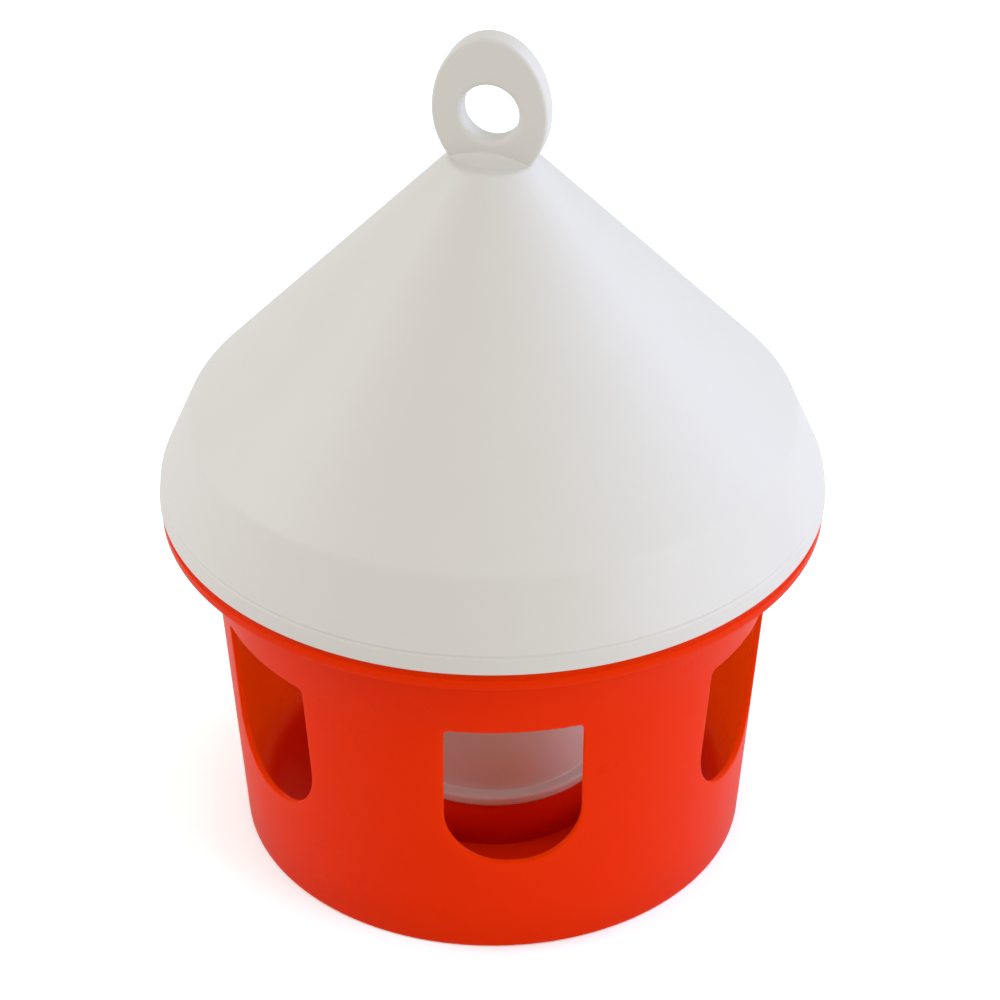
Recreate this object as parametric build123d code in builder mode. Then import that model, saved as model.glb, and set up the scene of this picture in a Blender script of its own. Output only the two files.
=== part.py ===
# Pigeon drinker: a roofed water tank standing in a drinking pot.
#
# The pot is one red moulding: a foot ring, a raised floor, a tapered wall with
# six drinking windows, a flared collar and a turned-down flange at the top.
# A socket ring stands in the middle of its floor.
# The tank is one white moulding: a hanging lug on a conical roof, a skirt, a
# rim that rests on the pot's flange, a sloping belly and a neck that stands in
# the socket. Water leaves the neck's mouth through the notches in the socket.
#
# Millimetres, +Z up. The origin is the centre of the pot's foot.
# The hole in the lug runs along Y.

import os
from math import asin, cos, degrees, radians, sin, tan

from build123d import *

# Pot: foot, floor and wall
foot_radius = 98.7
wall_draft = 4.13
wall = 2.6
foot_edge_bevel = 1.0
floor_raise = 5.0
floor_thickness = 2.8
floor_corner_round = 12.0

# Pot: windows, counted round from -Y towards +X
window_count = 6
window_turn = 20.0
window_width = 51.4
window_sill_height = 43.4
window_top_height = 107.4
window_low_round = 23.5
window_high_round = 1.8

# Pot: collar and flange
collar_flare = 8.0
flange_top_height = 148.0
flange_reach = 13.6
flange_depth = 6.8
flange_root_bevel = 3.0
lip_step = 0.8
lip_height = 3.8

# Pot: socket ring for the neck
socket_height = 18.6
socket_wall = 2.4
socket_draft = 1.5
notch_count = 3
notch_turn = 80.0
notch_width = 14.0
notch_height = 9.0

# Tank: wall, rim and skirt
tank_wall = 2.4
rim_overhang = 1.6
band_height = 7.3
band_lean = 0.9
groove_depth = 0.6
groove_width = 1.4
knee_inset = 12.0
knee_height = 33.5
knee_round = 6.0

# Tank: roof
roof_pitch = 46.94
roof_top_radius = 16.0

# Tank: belly and neck
seat_clearance = 1.2
belly_pitch = 47.0
neck_radius = 43.0
neck_clearance = 0.5
mouth_gap = 2.4
bead_reach = 4.2
bead_thickness = 5.0
bead_bevel = 1.2
bead_gap = 0.4

# Tank: hanging lug
lug_half_width = 21.6
lug_thickness = 8.8
lug_centre_height = 18.5
lug_upper_reach = 29.5
lug_lower_reach = 26.8
lug_edge_bevel = 1.0
lug_hole_radius = 10.7
lug_hole_round = 2.3
lug_root_sink = 0.8
lug_root_height = 5.0
lug_root_waist = 1.8

# Pot sizes that follow
floor_top = floor_raise + floor_thickness
draft_rise = tan(radians(wall_draft))
foot_inner_radius = foot_radius - wall
wall_across = wall / cos(radians(wall_draft))
floor_radius = foot_radius + floor_top * draft_rise - wall_across
crease_radius = foot_radius + window_top_height * draft_rise
flange_underside = flange_top_height - wall
flare_rise = tan(radians(collar_flare))
collar_across = wall / cos(radians(collar_flare))
collar_radius = crease_radius + (flange_underside - window_top_height) * flare_rise
collar_mouth_radius = crease_radius + (flange_top_height - window_top_height) * flare_rise - collar_across
flange_radius = collar_radius + flange_reach
flange_foot = flange_top_height - flange_depth
lip_radius = flange_radius + lip_step
lip_top = flange_foot + lip_height

# Socket sizes that follow from the neck
socket_bore = neck_radius + neck_clearance
socket_radius = socket_bore + socket_wall
socket_foot_radius = socket_radius + socket_height * tan(radians(socket_draft))
socket_top = floor_top + socket_height

# Tank sizes that follow
rim_radius = flange_radius + rim_overhang
band_top = flange_top_height + band_height
band_top_radius = rim_radius - band_lean
knee_radius = rim_radius - knee_inset
knee_level = flange_top_height + knee_height
roof_top = knee_level + (knee_radius - roof_top_radius) * tan(radians(roof_pitch))
belly_radius = collar_mouth_radius - seat_clearance
belly_foot = flange_top_height - (belly_radius - neck_radius) * tan(radians(belly_pitch))
mouth_height = floor_top + mouth_gap
bead_foot = socket_top + bead_gap
lug_centre = roof_top + lug_centre_height


def radial_plane(turn):
    """Upright plane through the axis that looks outwards, turned from -Y towards +X."""
    outwards = (sin(radians(turn)), -cos(radians(turn)), 0)
    sideways = (cos(radians(turn)), sin(radians(turn)), 0)
    return Plane(origin=(0, 0, 0), x_dir=sideways, z_dir=outwards)


# Corners of the pot's outside, from the middle of its floor to the flange's outer edge
pot_outside = [
    (0, floor_raise),
    (foot_inner_radius, floor_raise),
    (foot_inner_radius, 0),
    (foot_radius - foot_edge_bevel, 0),
    (foot_radius + foot_edge_bevel * draft_rise, foot_edge_bevel),
    (crease_radius, window_top_height),
    (collar_radius - flange_root_bevel * flare_rise, flange_underside - flange_root_bevel),
    (collar_radius + flange_root_bevel, flange_underside),
    (lip_radius - wall, flange_underside),
    (lip_radius - wall, flange_foot),
    (lip_radius, flange_foot),
    (lip_radius, lip_top),
    (flange_radius, lip_top),
    (flange_radius, flange_top_height),
]

# Corners of the pot's inside, from the flange's inner edge to the middle of its floor
pot_inside = [
    (collar_mouth_radius, flange_top_height),
    (crease_radius - wall_across, window_top_height),
    (floor_radius, floor_top),
    (socket_foot_radius, floor_top),
    (socket_radius, socket_top),
    (socket_bore, socket_top),
    (socket_bore, floor_top),
    (0, floor_top),
]
pot_corners = pot_outside + pot_inside
floor_corner = pot_corners.index((floor_radius, floor_top))
pot_roundings = [floor_corner_round if index == floor_corner else 0 for index in range(len(pot_corners))]

with BuildPart() as pot:
    # The half section is turned about the axis
    with BuildSketch(Plane.XZ):
        with BuildLine():
            FilletPolyline(pot_corners, radius=pot_roundings, close=True)
        make_face()
    revolve(axis=Axis.Z)

    # Drinking windows: straight cuts through the wall with a deeply rounded sill
    for index in range(window_count):
        turn = window_turn + index * 360 / window_count
        with BuildSketch(radial_plane(turn).offset(socket_foot_radius + wall)) as window:
            with Locations((0, (window_sill_height + window_top_height) / 2)):
                Rectangle(window_width, window_top_height - window_sill_height)
            fillet(window.vertices().group_by(Axis.Y)[0], radius=window_low_round)
            fillet(window.vertices().group_by(Axis.Y)[-1], radius=window_high_round)
        extrude(amount=flange_radius, mode=Mode.SUBTRACT)

    # Notches at the foot of the socket let the water out into the trough
    for index in range(notch_count):
        turn = notch_turn + index * 360 / notch_count
        with BuildSketch(radial_plane(turn)):
            with Locations((0, floor_top + notch_height / 2)):
                Rectangle(notch_width, notch_height)
        extrude(amount=socket_foot_radius + wall, mode=Mode.SUBTRACT)

pot.part.label = "drinking_pot"

# Corners of the tank's outer line, from the roof's top to the neck's mouth
tank_corners = [
    (0, roof_top),
    (roof_top_radius, roof_top),
    (knee_radius, knee_level),
    (band_top_radius, band_top),
    (rim_radius, flange_top_height),
    (belly_radius, flange_top_height),
    (neck_radius, belly_foot),
    (neck_radius, mouth_height),
]
knee = tank_corners.index((knee_radius, knee_level))
tank_roundings = [knee_round if index == knee else 0 for index in range(1, len(tank_corners) - 1)]

# The lug's outline is two half ellipses, cut off just inside the roof
lug_cut = degrees(asin((lug_centre_height + tank_wall / 2) / lug_lower_reach))

with BuildPart() as lug:
    with BuildSketch(Plane.XZ):
        with BuildLine():
            right_foot = EllipticalCenterArc(
                (0, lug_centre), lug_half_width, lug_lower_reach, start_angle=-lug_cut, arc_size=lug_cut
            )
            EllipticalCenterArc((0, lug_centre), lug_half_width, lug_upper_reach, start_angle=0, arc_size=180)
            left_foot = EllipticalCenterArc(
                (0, lug_centre), lug_half_width, lug_lower_reach, start_angle=180, arc_size=lug_cut
            )
            Line(left_foot @ 1, right_foot @ 0)
        make_face()
    extrude(amount=lug_thickness / 2, both=True)

    # The two faces' outlines are bevelled, but not where the lug enters the roof
    outlines = lug.faces().filter_by(Axis.Y).edges().filter_by(GeomType.LINE, reverse=True)
    chamfer(outlines, length=lug_edge_bevel)

    # Hanging hole with well rounded edges
    with BuildSketch(Plane.XZ):
        with Locations((0, lug_centre)):
            Circle(lug_hole_radius)
    extrude(amount=lug_thickness, both=True, mode=Mode.SUBTRACT)
    hole_edges = lug.faces().filter_by(Axis.Y).edges().filter_by(GeomType.CIRCLE)
    fillet(hole_edges, radius=lug_hole_round)

with BuildPart() as tank:
    # One even wall is laid inside the outer line and turned about the axis
    with BuildSketch(Plane.XZ):
        with BuildLine():
            outer_line = FilletPolyline(tank_corners, radius=tank_roundings)
            offset(outer_line, amount=tank_wall, kind=Kind.INTERSECTION, side=Side.RIGHT)
        make_face()
    revolve(axis=Axis.Z)

    # Bead on the neck, just above the socket
    with BuildSketch(Plane.XZ) as bead:
        with Locations((neck_radius - tank_wall / 2, bead_foot)):
            Rectangle(bead_reach + tank_wall / 2, bead_thickness, align=(Align.MIN, Align.MIN))
        chamfer(bead.vertices().group_by(Axis.X)[-1], length=bead_bevel)
    revolve(axis=Axis.Z)

    # Groove between the skirt and the rim band
    with BuildSketch(Plane.XZ):
        with Locations((band_top_radius, band_top)):
            Rectangle(2 * groove_depth, groove_width)
    revolve(axis=Axis.Z, mode=Mode.SUBTRACT)

    # Lug root: a hollow flare from the roof's round top to the lug's two faces
    with BuildSketch(Plane.XY.offset(roof_top - lug_root_sink)):
        Circle(roof_top_radius)
    with BuildSketch(Plane.XY.offset(roof_top + lug_root_waist)):
        Ellipse(roof_top_radius - 0.4, roof_top_radius / 2)
    with BuildSketch(Plane.XY.offset(roof_top + lug_root_height)):
        Ellipse(roof_top_radius - 0.8, lug_thickness / 2 - 0.05)
    loft()

    # The lug stands on the roof's round top
    add(lug.part)

tank.part.label = "water_tank"

os.makedirs("parts", exist_ok=True)
export_step(pot.part, "parts/drinking_pot.step")
export_step(tank.part, "parts/water_tank.step")
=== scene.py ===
import bpy
import mathutils
import numpy as np
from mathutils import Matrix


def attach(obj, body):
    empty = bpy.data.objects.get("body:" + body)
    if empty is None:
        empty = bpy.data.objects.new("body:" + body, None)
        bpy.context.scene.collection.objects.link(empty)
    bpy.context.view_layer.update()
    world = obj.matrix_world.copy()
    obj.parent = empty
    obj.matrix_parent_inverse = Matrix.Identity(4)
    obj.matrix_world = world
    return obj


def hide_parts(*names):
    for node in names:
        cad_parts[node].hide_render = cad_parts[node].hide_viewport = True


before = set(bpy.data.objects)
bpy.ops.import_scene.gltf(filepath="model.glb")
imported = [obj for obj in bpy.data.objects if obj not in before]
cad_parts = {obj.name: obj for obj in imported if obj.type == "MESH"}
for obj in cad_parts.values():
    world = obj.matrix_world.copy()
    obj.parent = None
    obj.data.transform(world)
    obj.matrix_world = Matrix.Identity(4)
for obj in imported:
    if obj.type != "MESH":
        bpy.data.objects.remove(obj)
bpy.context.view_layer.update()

# Drinking pot: one red, glossy moulding with a foot ring, a raised floor, a tapered
# wall with six drinking windows, a flared collar and a flange with a turned-down,
# stepped lip. Its edges are slightly rounded, as they leave the mould.

WALL = 0.0026
FOOT_RADIUS = 0.0987
DRAFT = np.tan(np.radians(4.13))
CREASE_HEIGHT = 0.1074
CREASE_SOFTNESS = 0.0025
FLARE = np.tan(np.radians(8.0))
FLANGE_TOP = 0.148
FLOOR_UNDERSIDE = 0.005
FLOOR_TOP = 0.0078
FIRST_WINDOW = 20
WINDOW_COUNT = 6
WINDOW_STEP = 360 // WINDOW_COUNT
SECTOR = np.radians(WINDOW_STEP)
POT_COLUMNS = 192


def wall_radius(height, depth=0.0):
    """Radius of the pot's wall at a height, a depth in from its outer face.
    The foot's radius grows with the draft, and from the crease up with the flare.
    The bend between them is half of (above + sqrt(above^2 + softness^2))."""
    above = height - CREASE_HEIGHT
    soft = 0.5 * (above + np.sqrt(above**2 + CREASE_SOFTNESS**2))
    return FOOT_RADIUS + DRAFT * height + (FLARE - DRAFT) * soft - depth


def rounded(corners, radii, steps=7):
    """Profile through corners, each cut by an arc of its own radius.
    The arc touches both sides at radius / tan(half the inner angle) from the corner,
    and its points are centre + radius * (cos, sin) over equal angles."""
    corners = np.asarray(corners, float)
    points = [corners[:1]]
    for before, corner, after, radius in zip(corners, corners[1:], corners[2:], radii):
        a = (before - corner) / np.linalg.norm(before - corner)
        b = (after - corner) / np.linalg.norm(after - corner)
        half = 0.5 * np.arccos(np.clip(a @ b, -1, 1))
        middle = (a + b) / np.linalg.norm(a + b)
        centre = corner + middle * radius / np.sin(half)
        first = corner + a * radius / np.tan(half)
        last = corner + b * radius / np.tan(half)
        start = np.arctan2(*(first - centre)[::-1])
        sweep = (np.arctan2(*(last - centre)[::-1]) - start + np.pi) % (2 * np.pi) - np.pi
        angle = start + sweep * np.linspace(0, 1, steps)
        points.append(centre + radius * np.stack([np.cos(angle), np.sin(angle)], 1))
    points.append(corners[-1:])
    return np.concatenate(points)


def spread(profile, longest=0.006):
    """The same profile with its long runs divided into equal parts."""
    lengths = np.linalg.norm(np.diff(profile, axis=0), axis=1)
    parts = np.maximum(1, np.ceil(lengths / longest)).astype(int)
    start = np.repeat(np.cumsum(np.concatenate([[0], parts[:-1]])), parts)
    run = np.repeat(np.arange(len(parts)), parts)
    share = (np.arange(parts.sum()) - start) / parts[run]
    inside = profile[run] + (profile[run + 1] - profile[run]) * share[:, None]
    return np.concatenate([inside, profile[-1:]])


def turned(profile, angles):
    """Grid of points: each profile point (r, z) at each angle from -Y towards +X,
    x = r sin(angle), y = -r cos(angle)."""
    r, z = profile[:, :1], profile[:, 1:]
    return np.stack([r * np.sin(angles), -r * np.cos(angles), z + 0 * angles], -1)


def grid_faces(rows, columns, closed_rows, closed_columns, offset):
    """Quads of a grid of rows x columns points numbered row by row."""
    r = np.arange(rows if closed_rows else rows - 1)[:, None]
    c = np.arange(columns if closed_columns else columns - 1)[None, :]
    r2, c2 = (r + 1) % rows, (c + 1) % columns
    near, far = r * columns, r2 * columns
    return np.stack([near + c, far + c, far + c2, near + c2], -1).reshape(-1, 4) + offset


def surface(name, grids, cell=2e-6, cell_start=0.23):
    """One mesh from several (points, closed_rows, closed_columns) grids. Points that
    fall in one small cell become one, which closes seams and poles. The cells start
    off the round millimetres, where the seams lie."""
    points = np.concatenate([g.reshape(-1, 3) for g, _, _ in grids])
    starts = np.cumsum([0] + [g.shape[0] * g.shape[1] for g, _, _ in grids])
    quads = np.concatenate([
        grid_faces(g.shape[0], g.shape[1], rows, columns, start)
        for (g, rows, columns), start in zip(grids, starts)
    ])
    keys = np.round(points / cell + cell_start).astype(np.int64)
    _, first, same = np.unique(keys, axis=0, return_index=True, return_inverse=True)
    quads = same.reshape(-1)[quads]
    points = points[first]
    # a quad whose side has closed up at a pole becomes a triangle
    keep = quads != np.roll(quads, 1, axis=1)
    sides = keep.sum(1)
    quads, keep, sides = quads[sides > 2], keep[sides > 2], sides[sides > 2]
    loop_starts = np.concatenate([[0], np.cumsum(sides)[:-1]])
    mesh = bpy.data.meshes.new(name)
    mesh.vertices.add(len(points))
    mesh.vertices.foreach_set("co", points.reshape(-1))
    mesh.loops.add(int(sides.sum()))
    mesh.loops.foreach_set("vertex_index", quads[keep].astype(np.int32))
    mesh.polygons.add(len(quads))
    mesh.polygons.foreach_set("loop_start", loop_starts.astype(np.int32))
    mesh.update(calc_edges=True)
    mesh.validate()
    mesh.shade_smooth()
    piece = bpy.data.objects.new(name, mesh)
    bpy.context.scene.collection.objects.link(piece)
    return piece


WINDOW_HALF = 0.0257
WINDOW_SILL = 0.0434
WINDOW_TOP = CREASE_HEIGHT
LOW_ROUND = 0.0235
HIGH_ROUND = 0.0018
EDGE_ROUND = 0.0007
PANEL_FOOT = 0.036
PANEL_TOP = 0.122
PANEL_ACROSS = POT_COLUMNS // WINDOW_COUNT
PANEL_UP = 28
ARC_POINTS = 24


def window_line(out):
    """Outline of a window, grown outwards by out: points (across, height) from the
    lower left corner round. Each corner is an arc of its radius plus out, and the
    four sides get as many points as the four sides of the panel round the window."""
    centre = np.array([
        [-WINDOW_HALF + LOW_ROUND, WINDOW_SILL + LOW_ROUND],
        [WINDOW_HALF - LOW_ROUND, WINDOW_SILL + LOW_ROUND],
        [WINDOW_HALF - HIGH_ROUND, WINDOW_TOP - HIGH_ROUND],
        [-WINDOW_HALF + HIGH_ROUND, WINDOW_TOP - HIGH_ROUND],
    ])
    radius = np.array([LOW_ROUND, LOW_ROUND, HIGH_ROUND, HIGH_ROUND]) + out
    sides = []
    for side, count in enumerate([PANEL_ACROSS, PANEL_UP, PANEL_ACROSS, PANEL_UP]):
        here, after = side, (side + 1) % 4
        turn = np.radians(-90 + 90 * side)
        first = np.linspace(turn - np.pi / 4, turn, ARC_POINTS)
        last = np.linspace(turn, turn + np.pi / 4, ARC_POINTS)
        line = np.concatenate([
            centre[here] + radius[here] * np.stack([np.cos(first), np.sin(first)], 1),
            centre[after] + radius[after] * np.stack([np.cos(last), np.sin(last)], 1),
        ])
        steps = np.linalg.norm(np.diff(line, axis=0), axis=1)
        length = np.concatenate([[0], np.cumsum(steps)])
        at = np.linspace(0, length[-1], count, endpoint=False)
        sides.append(np.stack([np.interp(at, length, line[:, i]) for i in (0, 1)], 1))
    return np.concatenate(sides)


def panel_line():
    """The panel's four sides as points (angle, height), counted as window_line's."""
    a, low, high = SECTOR / 2, PANEL_FOOT, PANEL_TOP
    across = np.linspace(-a, a, PANEL_ACROSS, endpoint=False)
    up = np.linspace(low, high, PANEL_UP, endpoint=False)
    return np.concatenate([
        np.stack([across, 0 * across + low], 1),
        np.stack([0 * up + a, up], 1),
        np.stack([-across, 0 * across + high], 1),
        np.stack([0 * up - a, low + high - up], 1),
    ])


def panel(turn):
    """A sixth of the wall round one window, as rows of closed lines: from the panel's
    sides over the inner face to the window, over its rounded edge, through the wall,
    over the outer edge and back on the outer face."""
    sides, rows = panel_line(), []

    def face(depth, shares):
        """Lines on the wall's face that pass from the panel's sides to the window."""
        edge = window_line(EDGE_ROUND)
        angle = np.arcsin(edge[:, 0] / wall_radius(edge[:, 1], depth))
        for share in shares:
            height = sides[:, 1] + (edge[:, 1] - sides[:, 1]) * share
            at = turn + (sides[:, 0] + (angle - sides[:, 0]) * share)
            radius = wall_radius(height, depth)
            rows.append(np.stack([radius * np.sin(at), -radius * np.cos(at), height], 1))

    def edge_round(depth, inwards, angles):
        """Lines round the window's edge: the outline shrinks with 1 - sin while the
        face, at out = sqrt(radius^2 - across^2), sinks with 1 - cos."""
        s, c = np.sin(turn), np.cos(turn)
        for angle in angles:
            line = window_line(EDGE_ROUND * (1 - np.sin(angle)))
            sink = inwards * EDGE_ROUND * (1 - np.cos(angle))
            across, height = line[:, 0], line[:, 1]
            out = np.sqrt(wall_radius(height, depth) ** 2 - across**2) - sink
            rows.append(np.stack([across * c + out * s, across * s - out * c, height], 1))

    shares = np.array([0, 0.2, 0.4, 0.58, 0.74, 0.87, 0.95, 1])
    bend = np.radians([18, 36, 54, 72, 90])
    face(0.0, shares)
    edge_round(0.0, 1, bend)
    edge_round(WALL, -1, bend[::-1])
    face(WALL, shares[::-1])
    return np.stack(rows[::-1])


# the ring below the windows: outer wall, foot, underside, floor and inner wall
FOOT_ROUND = 0.0012
FOOT_INNER_ROUND = 0.0008
FLOOR_CORNER = 0.012
column = np.linspace(0, 2 * np.pi, POT_COLUMNS, endpoint=False)
column = column + np.radians(FIRST_WINDOW) - SECTOR / 2
floor_radius = wall_radius(FLOOR_TOP, WALL)
low_line = rounded(
    [
        (wall_radius(PANEL_FOOT), PANEL_FOOT),
        (FOOT_RADIUS, 0),
        (FOOT_RADIUS - WALL, 0),
        (FOOT_RADIUS - WALL, FLOOR_UNDERSIDE),
        (0, FLOOR_UNDERSIDE),
    ],
    [FOOT_ROUND, FOOT_INNER_ROUND, FOOT_ROUND],
)
low_inside = rounded(
    [
        (0, FLOOR_TOP),
        (floor_radius, FLOOR_TOP),
        (wall_radius(PANEL_FOOT, WALL), PANEL_FOOT),
    ],
    [FLOOR_CORNER],
    steps=14,
)

# the ring above: mouth, flange, its step and turned-down lip, underside and collar
FLANGE_EDGE = 0.1254
LIP_EDGE = 0.1262
LIP_TOP = 0.1450
LIP_FOOT = 0.1412
COLLAR_INSET = 0.0008
COLLAR_DROP = 0.006
FLANGE_UNDERSIDE = FLANGE_TOP - WALL
collar_edge = wall_radius(FLANGE_UNDERSIDE)
high_line = rounded(
    [
        (wall_radius(FLANGE_TOP, WALL), FLANGE_TOP),
        (FLANGE_EDGE, FLANGE_TOP),
        (FLANGE_EDGE, LIP_TOP),
        (LIP_EDGE, LIP_TOP),
        (LIP_EDGE, LIP_FOOT),
        (LIP_EDGE - WALL, LIP_FOOT),
        (LIP_EDGE - WALL, FLANGE_UNDERSIDE),
        (collar_edge, FLANGE_UNDERSIDE),
        (collar_edge - COLLAR_INSET, FLANGE_UNDERSIDE - COLLAR_DROP),
    ],
    # the rounding of each corner between the first and the last
    [0.0007, 0.0003, 0.0005, 0.0007, 0.0004, 0.001, 0.003],
    steps=6,
)
COLLAR_ROWS = 8
MOUTH_ROUND = 0.0006
heights = np.linspace(high_line[-1, 1], PANEL_TOP, COLLAR_ROWS)
collar_outside = np.stack([wall_radius(heights), heights], 1)
heights = np.linspace(PANEL_TOP, FLANGE_TOP - MOUTH_ROUND, COLLAR_ROWS)
collar_inside = np.stack([wall_radius(heights, WALL), heights], 1)
high_ring = np.concatenate([collar_inside, spread(high_line), collar_outside])

pot_grids = [
    (panel(np.radians(FIRST_WINDOW + WINDOW_STEP * i)), False, True) for i in range(WINDOW_COUNT)
]
pot_grids += [
    (turned(line, column), False, True)
    for line in (spread(low_line), spread(low_inside), high_ring)
]
pot = surface("pot_moulding", pot_grids)

# the socket ring: four sides of its section carried round, its foot lifted at
# three notches; columns come in pairs there, so that the notch sides stand upright
SOCKET_BORE = 0.0435
SOCKET_RIM = 0.0459
SOCKET_FOOT = 0.04639
SOCKET_TOP = 0.0264
SOCKET_ROUND = 0.0006
SOCKET_SINK = 0.001
SOCKET_COLUMNS = 144
SOCKET_MIDDLE = 0.045
NOTCH_HALF_WIDTH = 0.007
NOTCH_HEIGHT = 0.009
NOTCH_TURNS = (80, 200, 320)
notch_half = np.arcsin(NOTCH_HALF_WIDTH / SOCKET_MIDDLE)
notch_centres = np.radians(np.array(NOTCH_TURNS))
even = np.linspace(0, 2 * np.pi, SOCKET_COLUMNS, endpoint=False)
pairs = notch_half * np.array([-1, -0.999, 0.999, 1])
edges = (notch_centres[:, None] + pairs).reshape(-1)
ring = np.sort(np.concatenate([even, edges % (2 * np.pi)]))
off = np.abs((ring[:, None] - notch_centres + np.pi) % (2 * np.pi) - np.pi).min(1)
in_notch = off < notch_half * 0.9995
ring_foot = np.where(in_notch, FLOOR_TOP + NOTCH_HEIGHT, FLOOR_TOP - SOCKET_SINK)
section = [(SOCKET_FOOT, ring_foot)]
for bend in np.radians(np.linspace(0, 90, 5)):
    across, up = SOCKET_ROUND * (1 - np.cos(bend)), SOCKET_ROUND * (1 - np.sin(bend))
    section.append((SOCKET_RIM - across, SOCKET_TOP - up + 0 * ring))
for bend in np.radians(np.linspace(0, 90, 5)):
    across, up = SOCKET_ROUND * (1 - np.sin(bend)), SOCKET_ROUND * (1 - np.cos(bend))
    section.append((SOCKET_BORE + across, SOCKET_TOP - up + 0 * ring))
section.append((SOCKET_BORE, ring_foot))
socket_rows = [np.stack([r * np.sin(ring), -r * np.cos(ring), z], -1) for r, z in section[::-1]]
socket = surface("pot_socket", [(np.stack(socket_rows), True, True)])


def link(tree, source, output, target, socket_name):
    """Join an output of one node to an input of another."""
    tree.links.new(source.outputs[output], target.inputs[socket_name])


def plastic(name, light, dark, roughness, spread_m, bump_m, settings, through=None, share=0.0):
    """Moulded plastic. A slow noise moves the colour from dark to light and the
    roughness a little about its mean; a fine noise is the bump of the mould's skin.
    A share of the light goes through the thin wall and takes the colour through."""
    roughness_swing, skin_grain = 0.012, 0.0022
    material = bpy.data.materials.new(name)
    material.use_nodes = True
    tree = material.node_tree
    shader = tree.nodes["Principled BSDF"]
    place = tree.nodes.new("ShaderNodeTexCoord")
    cloud = tree.nodes.new("ShaderNodeTexNoise")
    cloud.inputs["Scale"].default_value = 1 / spread_m
    cloud.inputs["Detail"].default_value = 4
    cloud.inputs["Roughness"].default_value = 0.55
    link(tree, place, "Object", cloud, "Vector")
    tone = tree.nodes.new("ShaderNodeValToRGB")
    tone.color_ramp.elements[0].position = 0.25
    tone.color_ramp.elements[0].color = (*dark, 1)
    tone.color_ramp.elements[1].position = 0.75
    tone.color_ramp.elements[1].color = (*light, 1)
    link(tree, cloud, "Fac", tone, "Fac")
    link(tree, tone, "Color", shader, "Base Color")
    sheen = tree.nodes.new("ShaderNodeMapRange")
    sheen.inputs["From Min"].default_value = 0.3
    sheen.inputs["From Max"].default_value = 0.7
    sheen.inputs["To Min"].default_value = roughness - roughness_swing
    sheen.inputs["To Max"].default_value = roughness + roughness_swing
    link(tree, cloud, "Fac", sheen, "Value")
    link(tree, sheen, "Result", shader, "Roughness")
    skin = tree.nodes.new("ShaderNodeTexNoise")
    skin.inputs["Scale"].default_value = 1 / skin_grain
    skin.inputs["Detail"].default_value = 3
    link(tree, place, "Object", skin, "Vector")
    bump = tree.nodes.new("ShaderNodeBump")
    bump.inputs["Distance"].default_value = bump_m
    bump.inputs["Strength"].default_value = 1.0
    link(tree, skin, "Fac", bump, "Height")
    link(tree, bump, "Normal", shader, "Normal")
    for key, value in settings.items():
        shader.inputs[key].default_value = value
    if through:
        passing = tree.nodes.new("ShaderNodeBsdfTranslucent")
        passing.inputs["Color"].default_value = (*through, 1)
        both = tree.nodes.new("ShaderNodeMixShader")
        both.inputs[0].default_value = share
        tree.links.new(shader.outputs["BSDF"], both.inputs[1])
        tree.links.new(passing.outputs["BSDF"], both.inputs[2])
        link(tree, both, "Shader", tree.nodes["Material Output"], "Surface")
    return material


red = plastic(
    "red_plastic",
    light=(0.96, 0.040, 0.001),
    dark=(0.945, 0.038, 0.001),
    roughness=0.28,
    spread_m=0.05,
    bump_m=0.000005,
    settings={"IOR": 1.3, "Specular Tint": (1.0, 0.12, 0.0, 1.0)},
    through=(1.0, 0.32, 0.015),
    share=0.44,
)
for piece in (pot, socket):
    piece.data.materials.append(red)
    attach(piece, "root")
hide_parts("drinking_pot")
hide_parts("drinking_pot")

# Water tank: one white, hollow moulding with a hanging lug on a conical roof, a soft
# knee, a skirt that ends in a groove and a rim band, a sloping belly and an open neck
# with a bead. Its rim rests on the pot's flange and its neck stands in the socket.

RIM_RADIUS = 0.12695
KNEE = (0.115, 0.1815)
ROOF_TOP = 0.28743
ROOF_TOP_RADIUS = 0.016
BELLY_RADIUS = 0.10834
NECK_RADIUS = 0.043
NECK_TOP = 0.07794
BEAD_RADIUS = 0.0472
MOUTH_HEIGHT = 0.0102
TANK_WALL = 0.0024
TANK_COLUMNS = 224

tank_outside = rounded(
    [
        (0, ROOF_TOP),
        (ROOF_TOP_RADIUS, ROOF_TOP),
        KNEE,
        # the groove
        (0.1261, 0.1560),
        (0.1257, 0.1553),
        (0.1263, 0.1545),
        (RIM_RADIUS, FLANGE_TOP),
        (BELLY_RADIUS, FLANGE_TOP),
        (NECK_RADIUS, NECK_TOP),
        # the bead
        (NECK_RADIUS, 0.0318),
        (BEAD_RADIUS, 0.0314),
        (BEAD_RADIUS, 0.0272),
        (NECK_RADIUS, 0.0268),
        (NECK_RADIUS, MOUTH_HEIGHT),
    ],
    # the rounding of each corner between the first and the last
    [0.0025, 0.010, 0.0008, 0.0006, 0.0006, 0.0009, 0.0004, 0.008, 0.0008, 0.0014, 0.0014, 0.0008],
    steps=9,
)
# the inside lies one wall in from the outer line
tank_inside = rounded(
    [
        (NECK_RADIUS - TANK_WALL, MOUTH_HEIGHT),
        (NECK_RADIUS - TANK_WALL, 0.0790),
        (0.1071, FLANGE_TOP + TANK_WALL),
        (0.1243, FLANGE_TOP + TANK_WALL),
        (0.1126, 0.1800),
        (0.0150, ROOF_TOP - TANK_WALL),
        (0, ROOF_TOP - TANK_WALL),
    ],
    [0.008, 0.002, 0.002, 0.005, 0.001],
)
tank_column = np.linspace(0, 2 * np.pi, TANK_COLUMNS, endpoint=False)
tank_line = spread(np.concatenate([tank_outside, tank_inside]))
tank = surface("tank_moulding", [(turned(tank_line, tank_column), False, True)])

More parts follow.
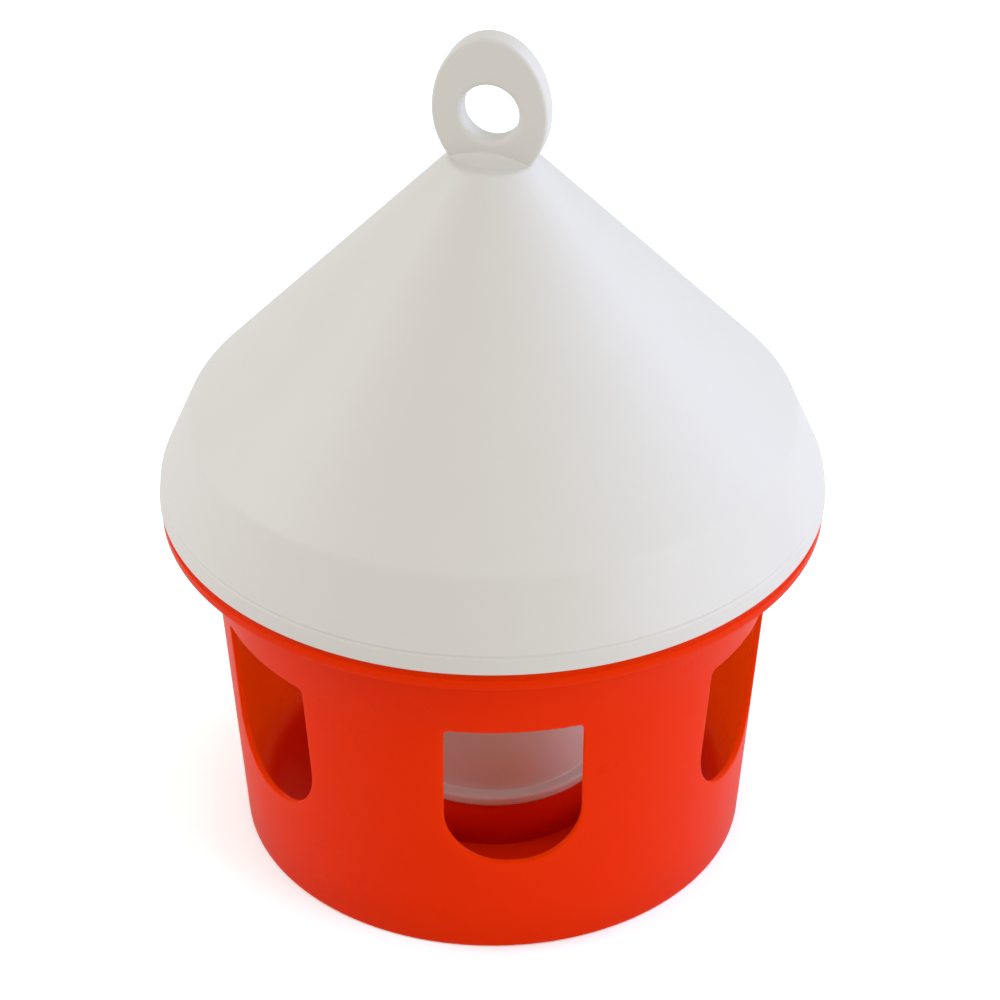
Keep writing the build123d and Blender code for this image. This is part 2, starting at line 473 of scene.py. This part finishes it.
# the hanging lug: its section, a rounded bar, carried round the hole
LUG_CENTRE = 0.30594
LUG_HALF_WIDTH = 0.0216
LUG_UPPER_REACH = 0.02948
LUG_LOWER_REACH = 0.0268
LUG_HALF = 0.0044
LUG_ROUND = 0.0014
LUG_HOLE = 0.0107
LUG_HOLE_ROUND = 0.0023
LUG_CUT = ROOF_TOP - 0.0016
LUG_COLUMNS = 160
round_lug = np.linspace(0, 2 * np.pi, LUG_COLUMNS, endpoint=False)


def lug_reach(inset):
    """Distance from the hole's centre to the lug's outline at each angle: an ellipse
    a b / sqrt((b cos)^2 + (a sin)^2), taller above than below, cut off flat inside
    the roof at -cut / sin(angle)."""
    cos, sin = np.cos(round_lug), np.sin(round_lug)
    a = LUG_HALF_WIDTH - inset
    b = np.where(sin > 0, LUG_UPPER_REACH, LUG_LOWER_REACH) - inset
    reach = a * b / np.sqrt((b * cos) ** 2 + (a * sin) ** 2)
    return np.minimum(reach, (LUG_CENTRE - LUG_CUT) / np.maximum(-sin, 1e-6))


def lug_row(reach, y):
    """Closed line of lug points at this reach from the hole's centre and this depth."""
    x, up = reach * np.cos(round_lug), reach * np.sin(round_lug)
    return np.stack([x, y + 0 * round_lug, LUG_CENTRE + up], 1)


def lug_half(side):
    """Half of the lug's section, from its middle plane over the outer edge's quarter
    round, across the face and round the hole's edge, on one side of the lug."""
    outer, inner = [], []
    for bend in np.radians(np.linspace(0, 90, 6)):
        along, down = 1 - np.cos(bend), 1 - np.sin(bend)
        outer.append(lug_row(lug_reach(LUG_ROUND * along), side * (LUG_HALF - LUG_ROUND * down)))
        inner.append(lug_row(
            LUG_HOLE + LUG_HOLE_ROUND * down + 0 * round_lug,
            side * (LUG_HALF - LUG_HOLE_ROUND * along),
        ))
    face = [outer[-1] + (inner[0] - outer[-1]) * share for share in (0.2, 0.4, 0.6, 0.8)]
    return outer + face + inner


lug_rows = lug_half(-1) + lug_half(1)[::-1]
lug = surface("tank_lug", [(np.stack(lug_rows[::-1]), True, True)])

# the lug's root: ellipses from the roof's round top up to the lug's two faces, with a
# short half width that falls quickly at first, as (1 - rise)^4
ROOT_FOOT = 0.0164
ROOT_TAPER = 0.0014
ROOT_TOP_HALF = 0.00436
ROOT_SINK = 0.0010
ROOT_HEIGHT = 0.0062
ROOT_COLUMNS = 144
rise = np.linspace(0, 1, 24)[:, None]
ring = np.linspace(0, 2 * np.pi, ROOT_COLUMNS, endpoint=False)[None, :]
root_x = ROOT_FOOT - ROOT_TAPER * rise
root_y = ROOT_TOP_HALF + (ROOT_FOOT - ROOT_TOP_HALF) * (1 - rise) ** 4
root_z = ROOF_TOP - ROOT_SINK + ROOT_HEIGHT * rise
root_grid = np.stack([root_x * np.sin(ring), -root_y * np.cos(ring), root_z + 0 * ring], -1)
axis_only = np.array([0, 0, 1])
closed_root = [root_grid[-1:] * axis_only, root_grid[::-1], root_grid[:1] * axis_only]
root = surface("tank_lug_root", [(np.concatenate(closed_root), False, True)])

white = plastic(
    "white_plastic",
    light=(0.612, 0.598, 0.568),
    dark=(0.602, 0.586, 0.555),
    roughness=0.5,
    spread_m=0.02,
    bump_m=0.00004,
    settings={"IOR": 1.5},
)
for piece in (tank, lug, root):
    piece.data.materials.append(white)
    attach(piece, "root")
    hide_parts("water_tank")

# Studio floor: a plain pale sheet. The camera sees it brighter than the light that it
# throws back on the object, and gloss sees it nearly white, so that it is the white
# ground of the photograph and only the nearest shadow shows.

FLOOR_HALF = 1.1
FLOOR_TONE = (0.8, 0.8, 0.8)
FLOOR_IN_GLOSS = (0.95, 0.95, 0.95)
FLOOR_TO_CAMERA = (1.13, 1.48, 1.52)


def by_ray(tree, colour, exceptions):
    """Output of a chain of mixes: the colour for most rays, and for each kind of
    ray that is named in the exceptions the colour given with it."""
    ray, chain = tree.nodes.new("ShaderNodeLightPath"), None
    for kind, other in exceptions:
        pick = tree.nodes.new("ShaderNodeMix")
        pick.data_type = "RGBA"
        link(tree, ray, kind, pick, "Factor")
        if chain is None:
            pick.inputs["A"].default_value = (*colour, 1)
        else:
            tree.links.new(chain, pick.inputs["A"])
        pick.inputs["B"].default_value = (*other, 1)
        chain = pick.outputs["Result"]
    return chain


reach = np.linspace(-FLOOR_HALF, FLOOR_HALF, 5)
across, along = np.meshgrid(reach, reach)
floor = surface("floor", [(np.stack([across, along, 0 * across], -1)[:, ::-1], False, False)])
floor_material = bpy.data.materials.new("floor_paper")
floor_material.use_nodes = True
tree = floor_material.node_tree
shader = tree.nodes["Principled BSDF"]
shader.inputs["Roughness"].default_value = 0.9
shader.inputs["Specular IOR Level"].default_value = 0.0
floor_seen = [("Is Glossy Ray", FLOOR_IN_GLOSS), ("Is Camera Ray", FLOOR_TO_CAMERA)]
tree.links.new(by_ray(tree, FLOOR_TONE, floor_seen), shader.inputs["Base Color"])
floor.data.materials.append(floor_material)

# Light: a warm white room and three cool soft boxes, two on the right, where the light
# of the photograph comes from, and one on the left. Camera and gloss see the room white.

ROOM_LIGHT = (0.785, 0.752, 0.640)
ROOM_SEEN = (1, 1, 1)
VIEW_TURN = np.radians(15.6)
AIM_HEIGHT = 0.17

world = bpy.data.worlds.new("room")
bpy.context.scene.world = world
world.use_nodes = True
tree = world.node_tree
background = tree.nodes["Background"]
room_seen = [("Is Glossy Ray", ROOM_SEEN), ("Is Camera Ray", ROOM_SEEN)]
tree.links.new(by_ray(tree, ROOM_LIGHT, room_seen), background.inputs["Color"])
background.inputs["Strength"].default_value = 1.0


def soft_box(name, turn, height, power, colour, distance=1.6, size=0.9):
    """Square lamp aimed at the tank, at an angle round from the camera's own direction
    and an angle of height, both in degrees."""
    lamp = bpy.data.lights.new(name, "AREA")
    lamp.shape = "SQUARE"
    lamp.size = size
    lamp.energy = power
    lamp.color = colour
    at, height = VIEW_TURN + np.radians(turn), np.radians(height)
    flat = np.cos(height)
    out = np.array([np.sin(at) * flat, -np.cos(at) * flat, np.sin(height)])
    lamp_object = bpy.data.objects.new(name, lamp)
    lamp_object.location = np.array([0, 0, AIM_HEIGHT]) + distance * out
    lamp_object.rotation_euler = mathutils.Vector(out).to_track_quat("Z", "Y").to_euler()
    bpy.context.scene.collection.objects.link(lamp_object)


soft_box("front_right_box", turn=60, height=15, power=10.4, colour=(0.76, 0.80, 1.0))
soft_box("back_right_box", turn=110, height=30, power=11.1, colour=(0.52, 0.635, 1.0))
soft_box("left_box", turn=-90, height=30, power=10.0, colour=(0.79, 0.80, 1.0))

# Camera: the photograph's own view through a long lens, looking down on the drinker
# and a little past its axis.

LENS = 122.8
LIFT = np.radians(33.10)
CAMERA_DISTANCE = 1.3092
LOOK_HEIGHT = 0.1393
LOOK_ASIDE = 0.00283

camera_data = bpy.data.cameras.new("camera")
camera_data.lens = LENS
camera_data.sensor_width = 36
camera_data.clip_end = 20
camera = bpy.data.objects.new("camera", camera_data)
bpy.context.scene.collection.objects.link(camera)
flat = np.cos(LIFT)
right = np.array([np.cos(VIEW_TURN), np.sin(VIEW_TURN), 0])
back = np.array([np.sin(VIEW_TURN) * flat, -np.cos(VIEW_TURN) * flat, np.sin(LIFT)])
up = np.cross(back, right)
place = np.array([0, 0, LOOK_HEIGHT]) + LOOK_ASIDE * right + CAMERA_DISTANCE * back
stand = np.vstack([np.stack([right, up, back, place], 1), [0, 0, 0, 1]])
camera.matrix_world = mathutils.Matrix(stand.tolist())
bpy.context.scene.camera = camera
bpy.context.scene.view_settings.view_transform = "Standard"
